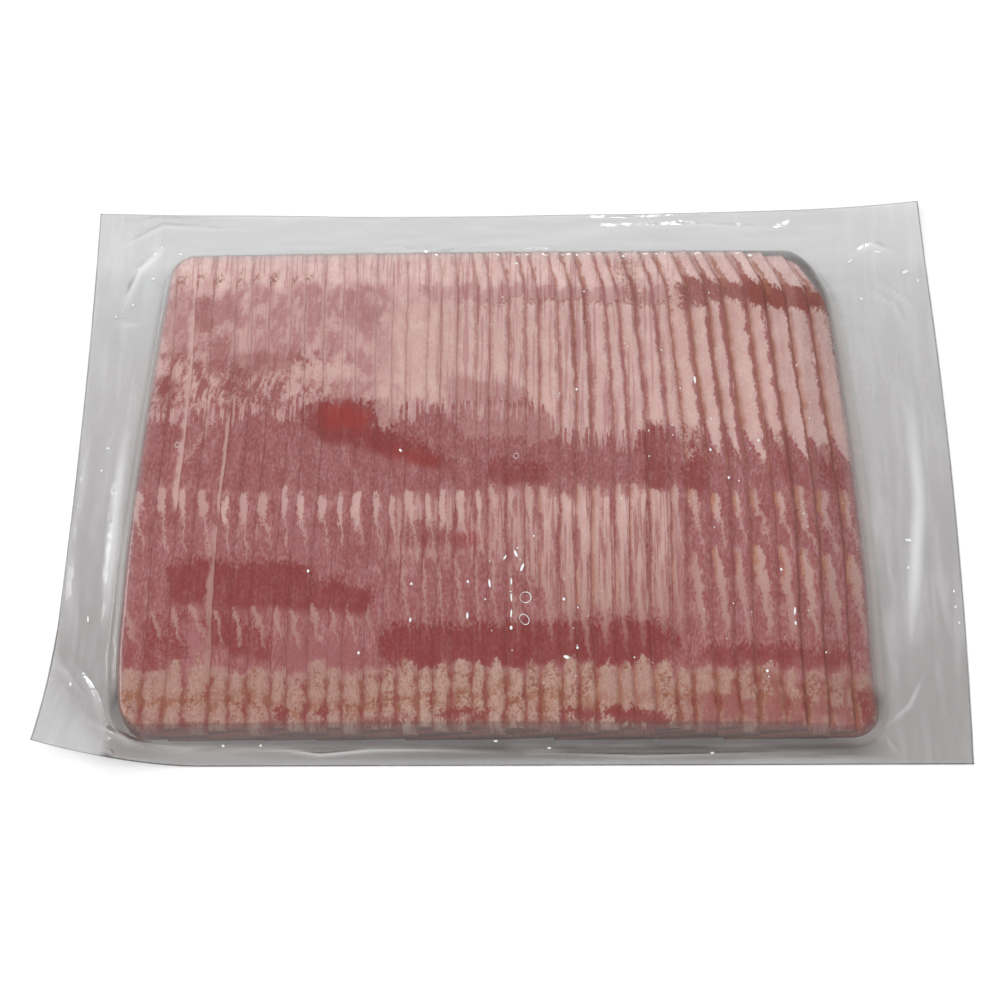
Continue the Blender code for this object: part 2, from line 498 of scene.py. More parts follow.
def shape_tree(name, inputs):
    """A Geometry Nodes tree with these named inputs, as (tree, its values by name)."""
    group = bpy.data.node_groups.new(name, "GeometryNodeTree")
    for label, kind in inputs.items():
        group.interface.new_socket(label, in_out="INPUT", socket_type=kind)
    group.interface.new_socket("Geometry", in_out="OUTPUT", socket_type="NodeSocketGeometry")
    tree = Tree(group)
    source = group.nodes.new("NodeGroupInput")
    return tree, {label: Value(tree, source.outputs[label]) for label in inputs}


def end_tree(tree, geometry, material):
    """Ends a tree in real, smooth geometry with its material."""
    real = tree.node("GeometryNodeRealizeInstances", None, {0: geometry})
    shaded = tree.node("GeometryNodeSetShadeSmooth", None, {"Geometry": real, "Shade Smooth": True})
    painted = tree.node("GeometryNodeSetMaterial", None, {"Geometry": shaded, "Material": material})
    result = tree.tree.nodes.new("NodeGroupOutput")
    tree.feed(result.inputs[0], painted)


def grown(name, tree, values, seed=None):
    """A plain mesh object grown by a tree with these input values, from a seed mesh if it needs one."""
    maker = bpy.data.objects.new(name + "_maker", seed or bpy.data.meshes.new(name + "_seed"))
    bpy.context.scene.collection.objects.link(maker)
    modifier = maker.modifiers.new("Shape", "NODES")
    modifier.node_group = tree.tree
    for item in tree.tree.interface.items_tree:
        if item.in_out == "INPUT" and item.name in values:
            modifier[item.identifier] = values[item.name]
    bpy.context.view_layer.update()
    evaluated = maker.evaluated_get(bpy.context.evaluated_depsgraph_get())
    data = bpy.data.meshes.new_from_object(evaluated)
    data.name = name
    painted = [each for each in data.materials if each]
    data.materials.clear()
    for each in painted:
        data.materials.append(each)
    seed = maker.data
    bpy.data.objects.remove(maker)
    bpy.data.meshes.remove(seed)
    if not data.polygons:
        raise RuntimeError(f"{name} came out empty")
    piece = bpy.data.objects.new(name, data)
    bpy.context.scene.collection.objects.link(piece)
    return piece


def unit_grid(tree, columns, rows):
    """A grid with its two shares, 0 to 1 across and along."""
    sizes = {"Size X": 1.0, "Size Y": 1.0, "Vertices X": columns, "Vertices Y": rows}
    grid = tree.node("GeometryNodeMeshGrid", None, sizes)
    x, y, _ = tree.split(tree.node("GeometryNodeInputPosition"))
    return grid, clip(x + 0.5), clip(y + 0.5)


def denser_ends(share, amount):
    """The share, with its values closer together at 0 and 1."""
    return share - sine(share * math.tau) * (amount / math.tau)


def place(tree, geometry, x, y, z):
    return tree.node("GeometryNodeSetPosition", None, {"Geometry": geometry, "Position": tree.join(x, y, z)})


def merge(tree, geometry):
    return tree.node("GeometryNodeMergeByDistance", None, {"Geometry": geometry, "Distance": MERGE})


def note(tree, geometry, name, value):
    """Stores a value on the geometry for its material."""
    kept = {"Geometry": geometry, "Name": name, "Value": value}
    return tree.node("GeometryNodeStoreNamedAttribute", {"data_type": "FLOAT", "domain": "POINT"}, kept)


# --- Rashers ----------------------------------------------------------------------------------------------

ROW_INPUTS = {
    "Rashers": "count",
    "First Strip": "first_strip",
    "Covered Width": "covered",
    "Thickness": "thickness",
    "Left Height": "left_height",
    "Middle Height": "middle_height",
    "Right Height": "right_height",
    "Last Step": "last_step",
    "Ridge": "ridge",
    "Crown": "crown",
}
RASHER_INPUTS = ["Place", "Edge Radius", "Edge Flare", "End Radius", "Front Cut", "Back Cut", "Raised"]
RASHER_COLUMNS = 48
RASHER_ROWS = 124
LAYER_GAP = 0.00006


def rasher_tree(material):
    """One closed rasher: its upper face left to right, round the free edge, and its lower face back."""
    labels = [*ROW_INPUTS, *RASHER_INPUTS]
    tree, sizes = shape_tree("Rasher", dict.fromkeys(labels, "NodeSocketFloat"))
    row, index = Row(tree, sizes), sizes["Place"]
    grid, u, v = unit_grid(tree, RASHER_COLUMNS + 1, RASHER_ROWS + 1)
    from_foot = 1 - abs(2 * u - 1)
    on_top = maths("LESS_THAN", u, 0.5)
    along = denser_ends(v, 0.75)

    level = BLOCK_FRONT + (BLOCK_BACK - BLOCK_FRONT) * along
    edge = row.free_edge(index, level)
    left = block_left(level)
    foot = most(row.free_edge(index - 1, level) - row.covered, left)
    reach = (edge - foot) * (1 - from_foot) ** 2.2
    x = edge - reach
    to_side = clip(least(x - left, block_right(level) - back_skew(1.0, level) - x), 0.0, BLOCK_CORNER)
    corner = BLOCK_CORNER - root(BLOCK_CORNER**2 - (BLOCK_CORNER - to_side) ** 2)
    front = corner + sizes["Front Cut"] + BLOCK_FRONT
    back = BLOCK_BACK - sizes["Back Cut"] - corner
    y = front + (back - front) * along

    inside = inside_block(x, y)
    cover = film_cover(inside) * ellipse(inside / 0.0016)
    upper = row.top(index, x, y) * cover
    has_next = clip(row.count - 1 - index)
    lower = least(row.top(index + 1, x, y) * cover * has_next + LAYER_GAP, upper)
    from_edge = reach / sizes["Edge Radius"]
    round_edge = ellipse(from_edge)
    round_edge = round_edge + (smooth(from_edge / 1.6) - round_edge) * sizes["Edge Flare"]
    round_ends = ellipse((y - front) / sizes["End Radius"]) * ellipse((back - y) / sizes["End Radius"])
    rounded = lower + (upper - lower) * round_edge * round_ends
    z = sizes["Raised"] + lower + (rounded - lower) * on_top

    over = row.across_strip(index, x, y)
    foot_after = row.free_edge(index, y) - row.covered
    foot_before = row.free_edge(index - 1, y) - row.covered
    under = (foot_after - x) / (foot_after - foot_before)
    noted = note(tree, grid, "strip", under + (over - under) * on_top)
    noted = note(tree, noted, "row", index)
    end_tree(tree, merge(tree, place(tree, noted, x, y, z)), material)
    return tree


class BACON_OT_rashers(bpy.types.Operator):
    """Lays the whole row of rashers"""

    bl_idname = "bacon_pack.rashers"
    bl_label = "Lay Rashers"

    def execute(self, context):
        settings = context.scene.bacon_row
        tree = rasher_tree(bacon_material(context.scene.bacon_meat))
        sizes = {label: float(getattr(settings, name)) for label, name in ROW_INPUTS.items()}
        sizes["End Radius"] = settings.end_radius
        sizes["Raised"] = settings.raised
        last = settings.count - 1
        for index in range(settings.count):
            sizes["Place"] = float(index)
            sizes["Edge Radius"] = settings.last_radius if index == last else settings.edge_radius
            sizes["Edge Flare"] = 0.0 if index == last else settings.edge_flare
            sizes["Front Cut"] = 0.0007 + 0.0007 * math.sin(3.9 * index)
            sizes["Back Cut"] = 0.0006 + 0.0006 * math.sin(5.3 * index + 1.0)
            rasher = grown(f"rasher_{index + 1:02d}", tree, sizes)
            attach(rasher, "root")
        return {"FINISHED"}


# --- Bacon material ---------------------------------------------------------------------------------------

# Patches on the rashers' faces, in millimetres: start, end, radius at each, and strength
DEEP_PATCHES = [
    (-86, 19, -36, -3, 11.5, 4.5, 1.0), (-91, 22, -72, 22, 7.5, 7.5, 1.0), (-32, -3, -25, -4, 3, 1, 0.8),
    (-150, -62, -100, -66, 8, 10, 0.95), (-147, -66, -68, -75, 10.5, 7.5, 0.95), (-42, -43, -20, -45, 6, 4, 0.7),
    (-4, -11, 16, -11, 6, 5, 0.8), (68, 9, 70, -13, 6, 6, 0.75), (87, 8, 89, -15, 4, 6, 0.85),
    (-166, 40, -166, 30, 5, 4, 0.6), (-133, 44, -131, 34, 5, 4, 0.55),
    (-48, -98, 66, -97, 10.5, 10.5, 1.0), (-175, -86, -174, -104, 3.5, 4, 0.7), (-162, -84, -162, -104, 3, 3.5, 0.8),
    (-153, -82, -151, -106, 3, 5, 0.8), (-131, -88, -112, -99, 9, 6, 0.9), (92, -103, 152, -103, 5, 5, 0.85),
    (131, 6, 134, -14, 3, 4, 0.6), (152, 4, 154, -17, 3, 4, 0.7), (-130, 4, -112, -8, 7, 8, 0.2), (-98, -100, -70, -102, 6, 6, 0.25),
]
SCARLET_PATCHES = [(-84, 22, -73, 19, 7, 6, 0.8), (-54, 0, -36, -3, 4, 3, 0.5), (-20, -43, -12, -45, 4, 3, 0.5)]
ROSE_PATCHES = [
    (-151, 84, -150, 73, 6, 6, 0.75), (-141, 60, -143, 49, 5, 5, 0.75), (-128, 50, -110, 50, 8, 6, 0.55),
    (-138, 86, -136, 76, 5, 4, 0.5), (-22, 34, 4, 30, 8, 6, 0.5), (-149, -127, -148, -127, 4.5, 4.5, 0.95),
    (-161, -128, -161, -127, 3, 3, 0.8), (-75, 88, -70, 78, 6, 6, 0.25),
]
MAUVE_PATCHES = [
    (118, -114, 118, -113, 4, 4, 0.8), (131, -111, 131, -110, 4, 4, 0.8), (142, -107, 142, -105, 4, 4, 0.8),
    (-95, -100, -72, -102, 8, 6, 0.6), (-144, -94, -144, -112, 5, 5, 0.8), (-100, -30, -92, -50, 8, 8, 0.3),
]
PALE_PATCHES = [
    (-174, 104, -175, 46, 3.5, 2.0, 0.7), (-97, 45, -77, 45, 5, 5, 0.8), (-50, 86, -46, 44, 9, 9, 0.55),
    (81, 98, 86, -4, 2.6, 1.6, 0.85), (48, -119, 63, -119, 9, 9, 0.6), (-157, -110, -154, -117, 3, 4, 0.7),
    (-143, 20, -154, -4, 0.9, 0.8, 0.7), (-160, 66, -168, 44, 1.1, 0.8, 0.7), (-139, 44, -150, 22, 1.0, 0.7, 0.6),
    (-30, 70, -30, 50, 5, 6, 0.4), (-60, 62, -58, 20, 4, 5, 0.5), (-14, 17, 18, 14, 9, 9, 0.28),
]
STAIN_PATCHES = [
    (60, 104, 63, 88, 5, 6, 0.55), (-135, -122, -116, -122, 3, 3, 0.6), (-67, -131, -66, -131, 3, 3, 0.7),
    (-44, -123, -43, -123, 3, 3, 0.7), (-20, -121, -18, -121, 3, 3, 0.7), (14, -130, 17, -130, 3, 3, 0.7),
    (73, -126, 74, -122, 3, 4, 0.7), (152, 101, 157, 92, 4, 4, 0.6), (158, 84, 165, 40, 2.5, 1.5, 0.6),
]
# Dark red pockets along the front ends: painted shade in the hollows between the lumps, in dark lean colour.
SHADED_POCKETS = [
    (-101, -130, -100, -131, 3, 3, 0.9), (-83, -130, -82, -131, 3, 2, 0.9), (-27, -132, -11, -131, 2.5, 2.5, 0.9),
    (27, -131, 39, -132, 2.5, 2.5, 0.9), (48, -132, 59, -132, 3.5, 3.5, 0.95), (61, -134, 72, -134, 3, 2, 0.9),
    (-60, -134, -48, -134, 2, 2, 0.7), (160, -118, 161, -132, 2.5, 3, 0.8),
]


def patch_shape():
    """A node group for one patch on top of the ones before it, 0 outside them."""
    group = bpy.data.node_groups.new("Patch", "ShaderNodeTree")
    for label in ("Spot", "Start", "Run", "Along"):
        group.interface.new_socket(label, in_out="INPUT", socket_type="NodeSocketVector")
    for label in ("Radius", "Widening", "Softness", "Strength", "Before"):
        group.interface.new_socket(label, in_out="INPUT", socket_type="NodeSocketFloat")
    group.interface.new_socket("Cover", in_out="OUTPUT", socket_type="NodeSocketFloat")
    tree, source = Tree(group), group.nodes.new("NodeGroupInput")
    given = {each.name: Value(tree, each) for each in source.outputs if each.name}
    vector, run = "ShaderNodeVectorMath", given["Run"]
    offset = tree.node(vector, {"operation": "SUBTRACT"}, {0: given["Spot"], 1: given["Start"]})
    dot = tree.node(vector, {"operation": "DOT_PRODUCT"}, {0: offset, 1: given["Along"]}, "Value")
    share = tree.node("ShaderNodeClamp", None, {0: dot})
    nearest = tree.node(vector, {"operation": "SCALE"}, {0: run, "Scale": share})
    far = tree.node(vector, {"operation": "DISTANCE"}, {0: offset, 1: nearest}, "Value")
    outside = far - maths("MULTIPLY_ADD", share, given["Widening"], given["Radius"])
    ends = {0: outside, 1: given["Softness"] * -1.0, 2: given["Softness"], 3: given["Strength"], 4: 0.0}
    cover = tree.node("ShaderNodeMapRange", {"interpolation_type": "SMOOTHSTEP"}, ends)
    tree.feed(group.nodes.new("NodeGroupOutput").inputs[0], most(given["Before"], cover))
    return group


class Slices:
    """The pattern that the rashers' faces share, in millimetres along the pack's axes."""

    def __init__(self, tree, colours):
        self.tree, self.colours, self.patch_shape = tree, colours, patch_shape()
        position = tree.node("ShaderNodeTexCoord", None, None, "Object")
        self.x, self.y, _ = [each * MM for each in tree.split(position)]
        self.row = self.attribute("row")
        x, y, row = self.x, self.y, self.row
        self.chance = tree.node("ShaderNodeTexWhiteNoise", {"noise_dimensions": "1D"}, {"W": row * 1.37 + 5.0})
        self.other_chance = tree.node("ShaderNodeTexWhiteNoise", {"noise_dimensions": "1D"}, {"W": row + 0.31})
        warp = tree.node(
            "ShaderNodeTexNoise",
            None,
            {"Vector": tree.join(x / 5.0, y / 8.0, row * 0.7), "Scale": 1.0, "Detail": 2.0, "Roughness": 0.6},
            "Color",
        )
        warp_x, warp_y, _ = [each - 0.5 for each in tree.split(warp)]
        jig = tree.noise(tree.join(row * 7.31, y / 16.0), detail=2.0) - 0.5
        swell = tree.noise(tree.join(x / 40.0, y / 40.0, 3.0), detail=1.0) - 0.5
        self.fibre = self.flat_field(x / 1.3, y / 2.4, 2.0, 0.7)
        self.grain = self.flat_field(x / 1.6 + 50.0, y / 1.6, 2.0, 0.65)
        fray_x, fray_y = self.grain - 0.5, self.fibre - 0.5
        self.near = self.attribute("strip") + warp_x * 0.18
        self.across = self.near + warp_x * 0.40 + fray_x * 0.09
        self.level = y + jig * 14.0 + swell * 9.0 + warp_y * 8.0 + fray_y * 2.6
        self.spot = tree.join(x + warp_x * 11.0 + fray_x * 3.4, y + jig * 9.0 + warp_y * 8.0 + fray_y * 3.4, 0.0)
        self.shift = warp_x
        self.streak = self.field(x / 1.5, y / 34.0, row * 1.9, 3.0, 0.55)
        self.cloud = self.field(x / 7.0, y / 11.0, row * 0.35, 4.0, 0.6)
        vein = tree.noise(tree.join(x / 4.5, y / 20.0, row * 0.5 + 30.0), detail=2.0, roughness=0.5)
        self.veins = 1 - smooth(abs(vein - 0.5), 0.0, 0.035)
        self.rightwards = smooth(x, 70.0, 96.0)
        self.leftwards = 1 - smooth(x, -66.0, -44.0)
        self.middle = (1 - self.leftwards) * (1 - smooth(x, 74.0, 84.0))

    def attribute(self, name):
        return self.tree.node("ShaderNodeAttribute", {"attribute_name": name}, None, "Fac")

    def field(self, x, y, z, detail, roughness):
        """A cloudy field that reaches from 0 to 1."""
        return smooth(self.tree.noise(self.tree.join(x, y, z), detail=detail, roughness=roughness), 0.3, 0.7)

    def flat_field(self, x, y, detail, roughness):
        """A cloudy field that is the same at every height."""
        sizes = {"Vector": self.tree.join(x, y), "Scale": 1.0, "Detail": detail, "Roughness": roughness}
        spread = self.tree.node("ShaderNodeTexNoise", {"noise_dimensions": "2D"}, sizes)
        return smooth(spread, 0.3, 0.7)

    def paint(self, base, mask, colour):
        return self.tree.mix(clip(mask), base, colour)

    def only(self, number):
        """1 on one rasher, counted from 0."""
        return 1 - clip(abs(self.row - number) * 2)

    def patches(self, base, places, colour, soft=1.2, limit=1.0):
        """Patches of one colour, the strongest of them at each place."""
        cover = 0.0
        for x, y, to_x, to_y, radius, to_radius, strength in places:
            run = Vector((to_x - x, to_y - y, 0.0))
            inputs = {"Spot": self.spot, "Start": (x, y, 0.0), "Run": run, "Along": run / run.length_squared}
            inputs.update({"Radius": radius, "Widening": to_radius - radius, "Softness": soft})
            inputs.update({"Strength": strength, "Before": cover})
            cover = self.tree.node("ShaderNodeGroup", {"node_tree": self.patch_shape}, inputs, "Cover")
        return self.paint(base, cover * limit, colour)

    def leaf(self, at, top, lean, wide, length):
        """A pale leaf on each strip: it starts at a point, widens, and runs out down to the right."""
        share = (top - self.level) / length
        half = wide * root(least(share * 3.2, 1.0)) * (1 - share) + 0.035
        side = 1 - smooth(abs(self.across - at - share * lean), half - 0.07, half + 0.07)
        return side * smooth(share, 0.0, 0.03) * (1 - smooth(share, 0.75, 1.0))

    def fat(self):
        """Fat from the back ends to the front ends, darker towards the front partly as painted shade, a little
        blushed and grained.
        """
        colours, level, near = self.colours, self.level, self.near
        # Paler at the back and darker to the front: partly painted light falling off towards the front.
        fat = self.paint(colours.strip_fat, smooth(level, 76.0, 98.0), colours.back_fat)
        fat = self.paint(fat, 1 - smooth(level, -106.0, -20.0), colours.front_fat)
        fat = self.paint(fat, self.cloud * 0.35, colours.blush)
        fat = self.paint(fat, smooth(self.fibre, 0.5, 1.0) * 0.16, colours.mauve)
        beside = (1 - smooth(near, 0.02, 0.30)) * smooth(self.x, -40.0, 30.0) * (1 - smooth(level, 80.0, 92.0))
        return self.paint(fat, beside * (0.30 + 0.65 * self.cloud), colours.amber)

    def strips(self, fat):
        """Strips of fat with thin lean lines, painted shade along each strip's crevices, and broader lean lines
        beside the free edges at the right.
        """
        across, near, colours = self.across, self.near, self.colours
        lines = smooth(self.streak, 0.62, 0.90) * 0.5 * (1 - 0.75 * self.rightwards)
        strips = self.paint(fat, lines, colours.mauve)
        # Mauve going to smoked brown near both edges of each strip: painted shade in the crevices between rashers.
        shade = self.paint(colours.mauve, smooth(self.chance, 0.3, 0.8) * 0.8, colours.smoke)
        gap = (1 - smooth(across, 0.03, 0.26)) + smooth(across, 0.82, 0.96)
        gap = gap * (0.35 + 0.65 * smooth(self.x, -30.0, 5.0)) * (1 - self.rightwards * 0.6)
        strips = self.paint(strips, gap * (0.40 + 0.25 * smooth(self.x, 20.0, 45.0) + 0.4 * self.streak), shade)
        start = 0.60 + 0.22 * self.other_chance
        dark = smooth(across, start, start + 0.08) * smooth(self.streak + self.cloud, 0.20, 0.60) * self.rightwards
        dark = dark * (1 - smooth(self.level, 84.0, 92.0))
        strips = self.paint(strips, dark * 0.92, self.paint(colours.rose, self.grain * 0.5, colours.mauve))
        return self.paint(strips, smooth(near, 0.88, 0.95) * self.rightwards * self.grain, colours.amber)

    def blushed(self, fat):
        """The mauve panels at the left, crossed by pale strokes that run down to the left."""
        x, level, colours, tree = self.x, self.level, self.colours, self.tree
        panel = band(self.across, 0.14, 0.86, 0.12) * smooth(self.cloud, 0.15, 0.65)
        face = self.paint(fat, 0.40, colours.blush)
        face = self.paint(face, panel * 0.60, colours.mauve)
        face = self.paint(face, smooth(self.streak, 0.55, 0.95) * 0.35, colours.mauve)
        lower = (1 - smooth(level, 50.0, 66.0)) * (1 - smooth(x, -100.0, -70.0))
        face = self.paint(face, lower * smooth(self.cloud + self.fibre * 0.4, 0.45, 0.95) * 0.9, colours.rose)
        strokes = self.field((x - level * 0.42) / 1.8, (level + x * 0.42) / 15.0, 9.0, 2.0, 0.5)
        return self.paint(face, smooth(strokes, 0.60, 0.85) * (0.25 + 0.55 * lower), fat)

    def lean(self):
        """Lean with fine grain, paler and darker in clouds."""
        colours = self.colours
        lean = self.paint(colours.rose, self.cloud * 0.85, colours.mauve)
        lean = self.paint(lean, smooth(self.fibre, 0.55, 1.0) * 0.32, colours.blush)
        lean = self.paint(lean, (1 - smooth(self.fibre, 0.0, 0.45)) * 0.35, colours.deep)
        lean = self.paint(lean, smooth(self.streak, 0.6, 1.0) * 0.2, colours.deep)
        return self.paint(lean, self.veins * self.cloud * 0.28, colours.strip_fat)

    def lean_bands(self, base, lean):
        x, level, across = self.x, self.level, self.across
        slanted = level + across * 26.0 * self.rightwards
        top = 29.0 - 17.0 * smooth(x, 14.0, 30.0) + 4.0 * smooth(x, 60.0, 80.0)
        fingers = smooth(self.streak, 0.3, 0.9) * 11.0 * (1 - self.rightwards)
        upper = smooth(slanted, -21.0, -18.5) * (1 - smooth(slanted - top + fingers, -2.0, 2.0))
        base = self.paint(base, upper, lean)
        return self.paint(base, band(level, -109.0, -19.5, 1.5), lean)

    def pale_strips(self, base, fat):
        """Streaky fat again below the teeth, from left of the middle to the right third."""
        end = -50.0 - 27.0 * smooth(self.x, 0.0, 26.0) - 7.0 * self.streak
        amount = self.middle * band(self.level + 5 * self.across, end, -19.0, 3.0)
        lines = smooth(self.streak, 0.25, 0.75)
        gap = (1 - smooth(self.across, 0.02, 0.16)) + smooth(self.across, 0.86, 0.96)
        amount = amount * (1 - clip(lines * 0.75 + gap * 0.5)) * (0.65 + 0.35 * smooth(self.x, 5.0, 25.0))
        return self.paint(base, amount, fat)

    def thin_bands(self, base, lean):
        """The thin lean band near the back ends, its dark hooks at the right, and the bars behind them."""
        colours, x, level, across = self.colours, self.x, self.level, self.across
        thin = band(level - 3 * across, 83.0, 91.5, 1.5) * (1 - self.leftwards) * (1 - self.rightwards)
        base = self.paint(base, thin * (0.30 + 0.35 * self.streak), colours.mauve)
        line = band(level - 3 * across, 81.8, 83.6, 0.7) * smooth(x, -45.0, 10.0) * (1 - self.rightwards)
        base = self.paint(base, line * self.grain * 0.8, colours.smoke)
        hooks = band(level + 7 * across, 85.5, 100.0, 1.5) * smooth(x, 78.0, 84.0)
        base = self.paint(base, hooks * 0.95, self.paint(lean, 0.5 * self.grain, colours.smoke))
        darkest = band(x, 117.0, 162.0, 3.0) * (1 - band(x, 137.0, 142.0, 1.5))
        base = self.paint(base, hooks * darkest * 0.8, self.paint(colours.deep, 0.35, colours.smoke))
        half = 0.03 + 0.11 * self.chance * smooth(110.0 - level, 0.0, 16.0)
        bars = band(level, 93.0, 112.0, 2.0) * (1 - smooth(abs(across - 0.20), half, half + 0.10)) * self.rightwards
        bar_colour = self.paint(colours.rose, self.other_chance, self.paint(colours.smoke, 0.5, colours.amber))
        base = self.paint(base, bars * 0.75, bar_colour)
        lines = smooth(level, 93.0, 97.0) * (1 - smooth(abs(across - 0.05), 0.03, 0.12)) * (1 - self.rightwards)
        return self.paint(base, lines * smooth(x, -60.0, 20.0) * 0.5, colours.amber)

    def leaves(self, base, fat):
        """Pale leaves at the foot of each lean band."""
        x, left = self.x, self.leftwards
        tone = self.paint(fat, self.rightwards * (1 - smooth(self.across, 0.12, 0.34)) * 0.9, self.colours.amber)
        teeth = self.leaf(0.19, -17.0 - 3.0 * self.chance, 0.16, 0.30, 16.0 + 8.0 * self.other_chance)
        tails = self.leaf(0.24, -24.0, 0.56, 0.02, 30.0)
        base = self.paint(base, most(teeth * (0.60 + 0.35 * self.chance), tails * 0.7), tone)
        under_lens = self.leaf(0.16, -78.0, 0.60, 0.13, 20.0) * (1 - smooth(x, -66.0, -58.0))
        base = self.paint(base, under_lens * 0.75, fat)
        second = self.leaf(0.22, -49.0, 0.52, 0.27, 50.0) * smooth(x, 80.0, 90.0)
        base = self.paint(base, second * (0.70 + 0.25 * self.other_chance), tone)
        thin = self.leaf(0.12, -50.0 - 8.0 * self.chance, 0.5, 0.06, 42.0) * (1 - left) * (1 - self.rightwards)
        base = self.paint(base, thin * 0.7, fat)
        fingers = self.leaf(0.45, -66.0 - 12.0 * self.chance, 0.2, 0.24, 34.0) * smooth(x, 2.0, 24.0)
        return self.paint(base, fingers * (1 - self.rightwards) * (0.15 + 0.4 * self.other_chance), fat)

    def front_ends(self, base, fat):
        """Lumps of fat at the front ends, each with a painted highlight, with brown marks, and with painted shade in
        the dark pockets between them and at their foot.
        """
        colours, x, y, across, level = self.colours, self.x, self.y, self.across, self.level
        down = -105.0 - 5.0 * self.chance + 2.0 * self.middle - level
        waist = 18.5 + (3.0 + 9.0 * (across - 0.5)) * (self.other_chance - 0.5)
        pinch = 1 - smooth(abs(down - waist), 0.0, 4.5)
        half = 0.50 * root(clip(down / 11.0)) * (1 - 0.30 * pinch) * (1 - 0.20 * smooth(down, 23.0, 31.0))
        side = abs(across - 0.5)
        # Smoked brown and dark lean between the lumps: painted shade.
        shaded_cracks = self.paint(colours.smoke, smooth(self.cloud + self.shift, 0.35, 0.70), colours.deep)
        base = self.paint(base, (1 - smooth(level, -116.0, -110.0)) * 0.85, shaded_cracks)
        lumps = (1 - smooth(side, half - 0.15, half + 0.03)) * smooth(down, 0.0, 1.5)
        lumps = lumps * (1 - 0.7 * self.rightwards * smooth(across, 0.42, 0.60) * smooth(self.cloud, 0.2, 0.5))
        # Each lump is paler at its middle: a painted highlight on its bulge.
        lump = self.paint(fat, (1 - smooth(side, 0.12, 0.42)) * (0.30 + 0.45 * self.grain), colours.cream)
        lump = self.paint(lump, smooth(self.fibre, 0.45, 0.95) * 0.35, colours.smoke)
        lump = self.paint(lump, (1 - clip(self.middle + 0.2)) * 0.8, self.paint(lump, 0.30, colours.rose))
        base = self.paint(base, lumps, lump)
        dash = band(down - waist, -1.6, 1.2, 1.0) * smooth(self.grain + self.streak, 0.55, 1.0)
        base = self.paint(base, dash * lumps * 0.85, self.paint(colours.smoke, self.fibre * 0.5, colours.amber))
        blots = smooth(self.cloud * 0.6 + self.grain * 0.4, 0.66, 0.80)
        base = self.paint(base, blots * lumps * 0.8, colours.smoke)
        ovals = band(level, -136.0, -125.0, 2.0) * band(across, 0.2, 0.75, 0.12) * self.rightwards
        base = self.paint(base, ovals * 0.75, colours.rose)
        # Darker lean where the front ends round down: painted shade.
        low = (1 - smooth(y + self.grain * 4, -136.0, -129.0)) * smooth(self.cloud, 0.35, 0.60)
        base = self.paint(base, low * 0.6, colours.deep)
        # Smoked brown at the very foot of the front wall: painted shade.
        return self.paint(base, (1 - smooth(y, -138.3, -136.8)) * 0.35, colours.smoke)

    def edges(self, base, fat):
        """Painted shade in the crevices, smoked free edges, brown curls, and two broad pale edges at the left."""
        colours, x, y, near = self.colours, self.x, self.y, self.near
        wide = self.only(1) * band(y, -28.0, 98.0, 3.0) + self.only(3) * band(y, -116.0, -38.0, 4.0) * 0.8
        width = smooth(near + self.shift * 0.5, 0.68, 0.92)
        base = self.paint(base, wide * width * 0.85, fat)
        narrow = self.only(3) * band(y, -30.0, 22.0, 3.0) * smooth(near, 0.84, 0.92)
        base = self.paint(base, narrow * 0.75, fat)
        rim = smooth(near, 0.93, 0.98) * (0.12 + 0.45 * self.rightwards) * band(y, -112.0, 92.0, 6.0)
        base = self.paint(base, rim * self.streak, colours.smoke)
        # Darker lean red in the crevice beside the rasher before: painted shade under that rasher's overhanging
        # edge.
        foot = self.paint(colours.rose, band(self.level, -110.0, 26.0, 3.0) * 0.8, colours.deep)
        foot = self.paint(foot, smooth(x, -60.0, 20.0) * smooth(self.other_chance, 0.3, 0.7), colours.smoke)
        crevice = (1 - smooth(near, 0.0, 0.11)) * (0.45 + 0.15 * self.rightwards)
        base = self.paint(base, crevice * (1 - smooth(y, 96.0, 104.0) * 0.75), foot)
        curls = band(self.level - 9 * self.across, 94.5, 98.5, 1.0) * (1 - smooth(self.across, 0.35, 0.6))
        curls = curls * (1 - smooth(x, -100.0, -88.0)) * smooth(self.grain, 0.25, 0.55)
        return self.paint(base, curls * 0.7, colours.smoke)

    def colour(self):
        colours, fat, lean = self.colours, self.fat(), self.lean()
        base = self.strips(fat)
        left = self.leftwards * band(self.level, 26.0, 95.0, 3.0)
        base = self.paint(base, left, self.blushed(fat))
        base = self.lean_bands(base, lean)
        base = self.pale_strips(base, fat)
        base = self.thin_bands(base, lean)
        base = self.patches(base, MAUVE_PATCHES, colours.mauve, 2.5)
        base = self.patches(base, ROSE_PATCHES, lean, 3.0)
        moist = self.paint(colours.deep, smooth(self.fibre, 0.5, 1.0) * 0.35, colours.rose)
        base = self.patches(base, DEEP_PATCHES, moist, 2.6, 1 - 0.45 * self.cloud * self.streak)
        base = self.patches(base, SCARLET_PATCHES, colours.scarlet, 4.0, 0.6 + 0.4 * self.fibre)
        base = self.leaves(base, fat)
        base = self.front_ends(base, fat)
        base = self.patches(base, PALE_PATCHES, fat, 1.2, 0.7 + 0.3 * self.grain)
        base = self.patches(base, STAIN_PATCHES, colours.smoke, 2.0, self.grain)
        base = self.patches(base, SHADED_POCKETS, colours.deep, 1.2)
        return self.edges(base, fat)


def bacon_material(colours):
    material = bpy.data.materials.new("bacon")
    material.use_nodes = True
    material.node_tree.nodes.clear()
    tree = Tree(material.node_tree)
    slices = Slices(tree, colours)
    relief = slices.fibre * 0.7
    looks = {
        "Base Color": slices.colour(),
        "Roughness": 0.45 + 0.12 * slices.fibre,
        "Specular IOR Level": 0.3,
        "Normal": tree.node("ShaderNodeBump", None, {"Strength": 0.5, "Distance": 0.0006, "Height": relief}),
    }
    tree.finish(tree.node("ShaderNodeBsdfPrincipled", None, looks))
    return material


# --- Film -------------------------------------------------------------------------------------------------

FILM_COLUMNS = 310
FILM_ROWS = 160

